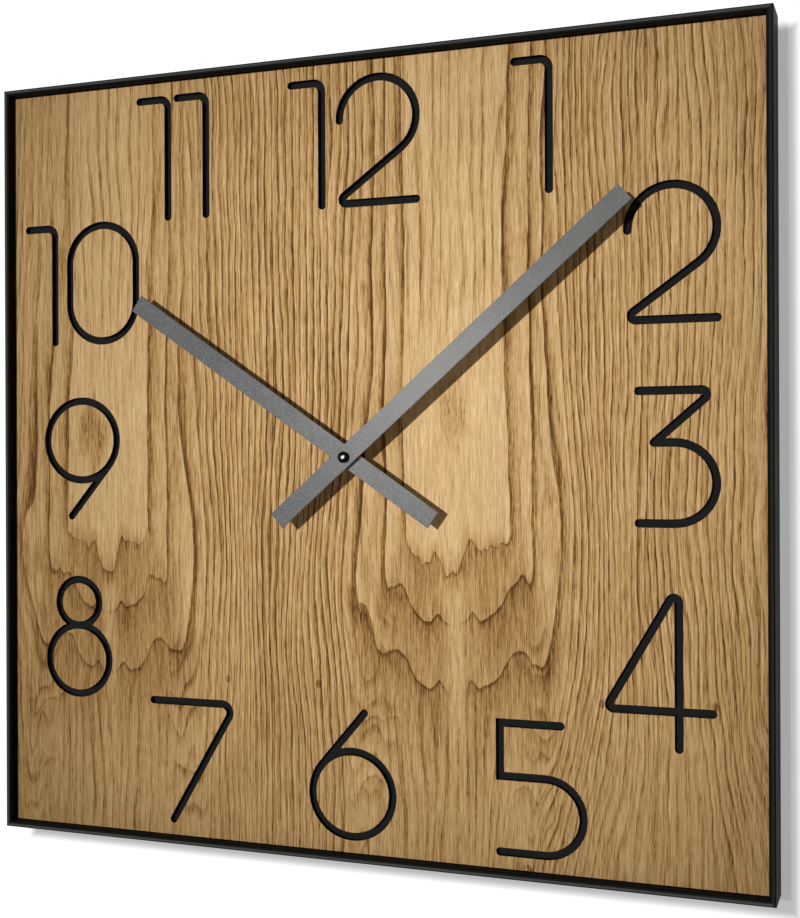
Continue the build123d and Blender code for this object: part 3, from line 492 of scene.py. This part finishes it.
MATERIALS = {
    "frame_black": frame_black(),
    "oak": oak(),
    "board_black": board(),
    "hand_grey": hand_grey(),
    "nut_black": nut_black(),
    "steel": flecked("steel", shade(176, 178, 180), 0.32, metallic=1.0, grain=0.8),
    "brass": flecked("brass", shade(200, 164, 98), 0.3, metallic=1.0),
    "gear_plastic": flecked("gear_plastic", shade(228, 226, 216), 0.45),
    "case_plastic": flecked("case_plastic", shade(40, 40, 42), 0.5, grain=0.25, depth=0.03),
    "plate_plastic": flecked("plate_plastic", shade(206, 202, 188), 0.5),
    "silicon_steel": flecked("silicon_steel", shade(160, 161, 164), 0.35, metallic=1.0),
    "magnet": flecked("magnet", shade(82, 82, 86), 0.5, metallic=0.7),
    "copper": flecked("copper", shade(178, 96, 58), 0.3, metallic=0.9),
    "circuit_green": flecked("circuit_green", shade(30, 92, 52), 0.35),
    "epoxy": flecked("epoxy", shade(16, 16, 17), 0.25),
    "tin": flecked("tin", shade(196, 196, 194), 0.28, metallic=1.0),
    "cell_jacket": cell_jacket(),
    "gasket_rubber": flecked("gasket_rubber", shade(34, 34, 34), 0.8),
}

for part in frame["record"]["subparts"]:
    node = nodes[part["node"]]
    node.data.materials.clear()
    node.data.materials.append(MATERIALS[part["material_slot"]])


# ---------------------------------------------------------------- small pieces that the CAD leaves plain
# Lengths here are in millimetres; an outline is a list of (x, z), and pieces are raised towards +Y, the back.
SUNK = 0.1  # how deep a raised detail starts in the surface that carries it


def make(name, build, body, slot, smooth=False):
    """Turns a bmesh in millimetres into a piece that rides on a body."""
    bmesh.ops.scale(build, vec=(0.001, 0.001, 0.001), verts=build.verts)
    bmesh.ops.recalc_face_normals(build, faces=build.faces)
    # a bevel leaves the faces in an order that differs from run to run
    for index, face in enumerate(sorted(build.faces, key=lambda face: tuple(face.calc_center_median()))):
        face.index = index
    build.faces.sort()
    mesh = bpy.data.meshes.new(name)
    build.to_mesh(mesh)
    build.free()
    mesh.materials.append(MATERIALS[slot])
    for face in mesh.polygons:
        face.use_smooth = smooth
    piece = bpy.data.objects.new(name, mesh)
    bpy.context.scene.collection.objects.link(piece)
    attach(piece, body)


def box_mm(node):
    low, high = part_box(node)
    return low * 1000, high * 1000


def centre_of(node):
    """The middle of a node as it is seen from behind, as (x, z)."""
    low, high = box_mm(node)
    return ((low.x + high.x) / 2, (low.z + high.z) / 2)


def strips(build, loops, closed):
    """Joins neighbouring loops of vertices with faces, and the last with the first if closed."""
    pairs = list(zip(loops, loops[1:]))
    if closed:
        pairs.append((loops[-1], loops[0]))
    for one, other in pairs:
        for k in range(len(one)):
            after = (k + 1) % len(one)
            build.faces.new((one[k], one[after], other[after], other[k]))


def raise_outline(build, outline, base, height, edge=0.12):
    """A flat raised figure with a narrow chamfer along its upper edge."""
    loops = []
    for y in (base - SUNK, base + height):
        loops.append([build.verts.new((x, y, z)) for x, z in outline])
    strips(build, loops, False)
    build.faces.new(loops[0])
    top = build.faces.new(loops[1])
    bmesh.ops.bevel(build, geom=list(top.edges), offset=edge, segments=2, affect="EDGES", profile=0.5)


def rounded(middle, width, height, radius, steps=6):
    """The outline of a rectangle with round corners."""
    points = []
    for turn, (side, up) in enumerate(((1, 1), (-1, 1), (-1, -1), (1, -1))):
        x = middle[0] + side * (width / 2 - radius)
        z = middle[1] + up * (height / 2 - radius)
        for step in range(steps + 1):
            angle = math.radians(90 * (turn + step / steps))
            points.append((x + radius * math.cos(angle), z + radius * math.sin(angle)))
    return points


def raise_band(build, middle, size, radius, width, base, height):
    """A rounded bead along a rectangle with round corners."""
    rising = ((0, -SUNK), (0.15, height * 0.7), (width * 0.35, height))
    falling = [(width - inset, y) for inset, y in reversed(rising)]
    loops = []
    for inset, y in (*rising, *falling):
        outline = rounded(middle, size[0] - 2 * inset, size[1] - 2 * inset, radius - inset)
        loops.append([build.verts.new((x, base + y, z)) for x, z in outline])
    strips(build, loops, True)


def cover_details():
    """Bead, ribs, polarity signs and the arrow beside the setting knob, moulded on the movement's cover."""
    low, high = box_mm("rear_cover")
    back = high.y
    cell_low, cell_high = box_mm("battery")
    middle = centre_of("rear_cover")
    rise = 0.3

    inset, corner_radius, bead_width = 0.6, 2.4, 0.9
    size = (high.x - low.x - 2 * inset, high.z - low.z - 2 * inset)
    build = bmesh.new()
    raise_band(build, middle, size, corner_radius, bead_width, back, rise)
    make("cover_bead", build, "case", "case_plastic", smooth=True)

    ribs, pitch, first = 6, 1.9, 5.0
    length, width, rib_rise = 26, 0.8, 0.35
    build = bmesh.new()
    for row in range(ribs):
        bar = rounded((middle[0], high.z - first - row * pitch), length, width, width / 2 - 0.02)
        raise_outline(build, bar, back, rib_rise)
    make("cover_ribs", build, "case", "case_plastic")

    # the signs stand above the ends of the cell; the positive one is towards +X
    arm, thick = 1.5, 0.35
    from_end, above_edge = 7, 3.2
    plus = []
    for side, up in ((1, 1), (-1, 1), (-1, -1), (1, -1)):
        corner = [(side * arm, up * thick), (side * thick, up * thick), (side * thick, up * arm)]
        plus += corner if side * up > 0 else corner[::-1]
    minus = [(arm, thick), (-arm, thick), (-arm, -thick), (arm, -thick)]
    sign_height = low.z + above_edge
    plus_x, minus_x = cell_high.x - from_end, cell_low.x + from_end
    for name, figure, x in (("sign_plus", plus, plus_x), ("sign_minus", minus, minus_x)):
        build = bmesh.new()
        raise_outline(build, [(x + a, sign_height + b) for a, b in figure], back, rise)
        make(name, build, "case", "case_plastic")

    # the arrow runs round the knob, the way it turns to set the hands forward
    centre = centre_of("setting_knob")
    inner, outer, barb = 7.0, 7.6, 0.7
    start, end, steps, head = 60, 130, 14, 12

    def ring(radius, degrees_round):
        angle = math.radians(degrees_round)
        return (centre[0] + radius * math.cos(angle), centre[1] + radius * math.sin(angle))

    angles = [start + (end - start) * k / steps for k in range(steps + 1)]
    arrow = [ring(outer, a) for a in angles] + [ring(inner, a) for a in reversed(angles)]
    arrow += [ring(inner - barb, start), ring((inner + outer) / 2, start - head), ring(outer + barb, start)]
    build = bmesh.new()
    raise_outline(build, arrow, back, rise, 0.08)
    make("setting_arrow", build, "case", "case_plastic")


def thread():
    """The ridge of the bushing's thread, from the nut to its front end, fading out at both ends."""
    pitch, ridge, steps, fade = 0.75, 0.28, 36, 10
    start, end = box_mm("hex_nut")[0].y - 0.1, box_mm("threaded_bushing")[0].y + 0.5
    radius = 4.0  # of the bushing under its thread
    count = (start - end) / pitch * steps
    build = bmesh.new()
    loops = []
    for k in range(int(count) + 1):
        angle = 2 * math.pi * k / steps
        y = start - pitch * k / steps
        loop = []
        for offset, reach in ((-0.3, -0.05), (0, ridge), (0.3, -0.05)):
            distance = radius + reach * min(1, k / fade, (count - k) / fade + 0.1)
            loop.append(build.verts.new((distance * math.cos(angle), y + offset, distance * math.sin(angle))))
        loops.append(loop)
    strips(build, loops, False)
    build.faces.new(loops[0])
    build.faces.new(loops[-1])
    make("bushing_thread", build, "case", "brass", smooth=True)


def cell_rims():
    """The crimped steel rims at the ends of the cell's sleeve."""
    proud, half_width, steps, around_steps = 0.16, 0.3, 48, 8
    low, high = box_mm("battery")
    middle = (low.y + high.y) / 2, (low.z + high.z) / 2
    radius = (high.z - low.z) / 2
    for name, x in (("cell_rim_minus", low.x + CELL_RIM_MINUS), ("cell_rim_plus", high.x - CELL_RIM_PLUS)):
        build = bmesh.new()
        loops = []
        for k in range(steps):
            angle = 2 * math.pi * k / steps
            loop = []
            for step in range(around_steps):
                around = 2 * math.pi * step / around_steps
                distance = radius + proud * math.cos(around)
                spot = (
                    x + half_width * math.sin(around),
                    middle[0] + distance * math.cos(angle),
                    middle[1] + distance * math.sin(angle),
                )
                loop.append(build.verts.new(spot))
            loops.append(loop)
        strips(build, loops, True)
        make(name, build, "cell", "tin", smooth=True)


def hanger_bead():
    """The bead pressed into the hanger plate, which stiffens it."""
    inset, corner_radius, bead_width, rise = 1.5, 5.0, 1.4, 0.35
    low, high = box_mm("hanger_plate")
    size = (high.x - low.x - 2 * inset, high.z - low.z - 2 * inset)
    build = bmesh.new()
    raise_band(build, centre_of("hanger_plate"), size, corner_radius, bead_width, high.y, rise)
    make("hanger_bead", build, "case", "steel", smooth=True)


cover_details()
thread()
cell_rims()
hanger_bead()


# ---------------------------------------------------------------- stage, lamps and camera
def stage_material(name, grey, glow, shadow=None):
    """A pale surface that shines a little to the camera, less inside a soft shadow painted round the clock when
    shadow is given, open from behind.
    """
    paint = Paint(name)
    if shadow:
        x, y, z = paint.place()
        right, down = shadow
        # a painted soft shadow: the shine is lowered inside the clock's outline moved right and down, and rises
        # to full white beyond it
        beyond = (x - right).abs().at_least((z + down).abs()) - cad_box[1].x * 1000
        glow = glow + beyond.ramp(0, SHADOW_FADE) * (1 - glow)
    shader = paint.node("ShaderNodeBsdfDiffuse", {"Color": (grey, grey, grey, 1)})
    path = paint.node("ShaderNodeLightPath").outputs
    seen = paint.math("MAXIMUM", path["Is Camera Ray"], path["Is Glossy Ray"])
    shine = paint.node("ShaderNodeEmission", {"Color": (1, 1, 1, 1), "Strength": seen * glow})
    lit = paint.node("ShaderNodeAddShader", {0: shader.outputs[0], 1: shine.outputs[0]})
    back = paint.node("ShaderNodeNewGeometry").outputs["Backfacing"]
    clear = paint.math("MAXIMUM", back, path["Is Shadow Ray"])
    open_air = paint.node("ShaderNodeBsdfTransparent")
    both = paint.node("ShaderNodeMixShader", {0: clear, 1: lit.outputs[0], 2: open_air.outputs[0]})
    paint.node("ShaderNodeOutputMaterial", {0: both.outputs[0]})
    return paint.material


def stage_plane(name, corners, material):
    mesh = bpy.data.meshes.new(name)
    mesh.from_pydata(corners, [], [(0, 1, 2, 3)])
    plane = bpy.data.objects.new(name, mesh)
    bpy.context.scene.collection.objects.link(plane)
    mesh.materials.append(material)


half = WALL_SIZE / 2
wall_y = cad_box[1].y + WALL_GAP
floor_z = -FLOOR_DROP
wall_corners = [
    (-half, wall_y, floor_z),
    (half, wall_y, floor_z),
    (half, wall_y, half),
    (-half, wall_y, half),
]
stage_plane("wall", wall_corners, stage_material("wall_white", WALL_GREY, WALL_GLOW, SHADOW_SHIFT))
floor_corners = [
    (-WALL_SIZE, -WALL_SIZE, floor_z),
    (WALL_SIZE, -WALL_SIZE, floor_z),
    (WALL_SIZE, WALL_SIZE, floor_z),
    (-WALL_SIZE, WALL_SIZE, floor_z),
]
stage_plane("floor", floor_corners, stage_material("floor_pale", FLOOR_GREY, FLOOR_GLOW))


def aim(obj, direction):
    """Turns a lamp at the end of direction to shine back along it."""
    obj.rotation_mode = "QUATERNION"
    obj.rotation_quaternion = Vector(direction).to_track_quat("Z", "Y")


def sun(name, direction, strength, angle):
    lamp = bpy.data.objects.new(name, bpy.data.lights.new(name, "SUN"))
    lamp.data.energy = strength
    lamp.data.angle = math.radians(angle)
    lamp.data.color = (1.0, 0.99, 0.97)
    aim(lamp, direction)
    bpy.context.scene.collection.objects.link(lamp)


sun("key_lamp", KEY_DIRECTION, KEY_STRENGTH, KEY_ANGLE)
sun("back_lamp", BACK_DIRECTION, BACK_STRENGTH, BACK_ANGLE)
sun("side_lamp", SIDE_DIRECTION, SIDE_STRENGTH, SIDE_ANGLE)


def add_world():
    """A dim white sky, which the camera and everything that mirrors it see as plain white."""
    world = bpy.data.worlds.new("studio")
    bpy.context.scene.world = world
    world.use_nodes = True
    tree = world.node_tree
    tree.nodes.clear()
    path = tree.nodes.new("ShaderNodeLightPath").outputs
    seen = path["Is Camera Ray"]
    for ray in ("Is Glossy Ray", "Is Transmission Ray"):
        either = tree.nodes.new("ShaderNodeMath")
        either.operation = "MAXIMUM"
        tree.links.new(seen, either.inputs[0])
        tree.links.new(path[ray], either.inputs[1])
        seen = either.outputs[0]
    strength = tree.nodes.new("ShaderNodeMapRange")
    strength.inputs["To Min"].default_value = AMBIENT
    strength.inputs["To Max"].default_value = 1.0
    tree.links.new(seen, strength.inputs["Value"])
    sky = tree.nodes.new("ShaderNodeBackground")
    sky.inputs["Color"].default_value = (1, 1, 1, 1)
    tree.links.new(strength.outputs[0], sky.inputs["Strength"])
    out = tree.nodes.new("ShaderNodeOutputWorld")
    tree.links.new(sky.outputs[0], out.inputs[0])


def add_camera():
    camera = bpy.data.objects.new("camera", bpy.data.cameras.new("camera"))
    camera.location = CAMERA_PLACE
    camera.rotation_euler = [math.radians(turn) for turn in CAMERA_TURN]
    camera.data.lens = CAMERA_LENS
    camera.data.shift_x = CAMERA_SHIFT
    camera.data.clip_start = 0.01
    bpy.context.scene.collection.objects.link(camera)
    bpy.context.scene.camera = camera


add_world()
add_camera()
bpy.context.scene.view_settings.view_transform = "Standard"
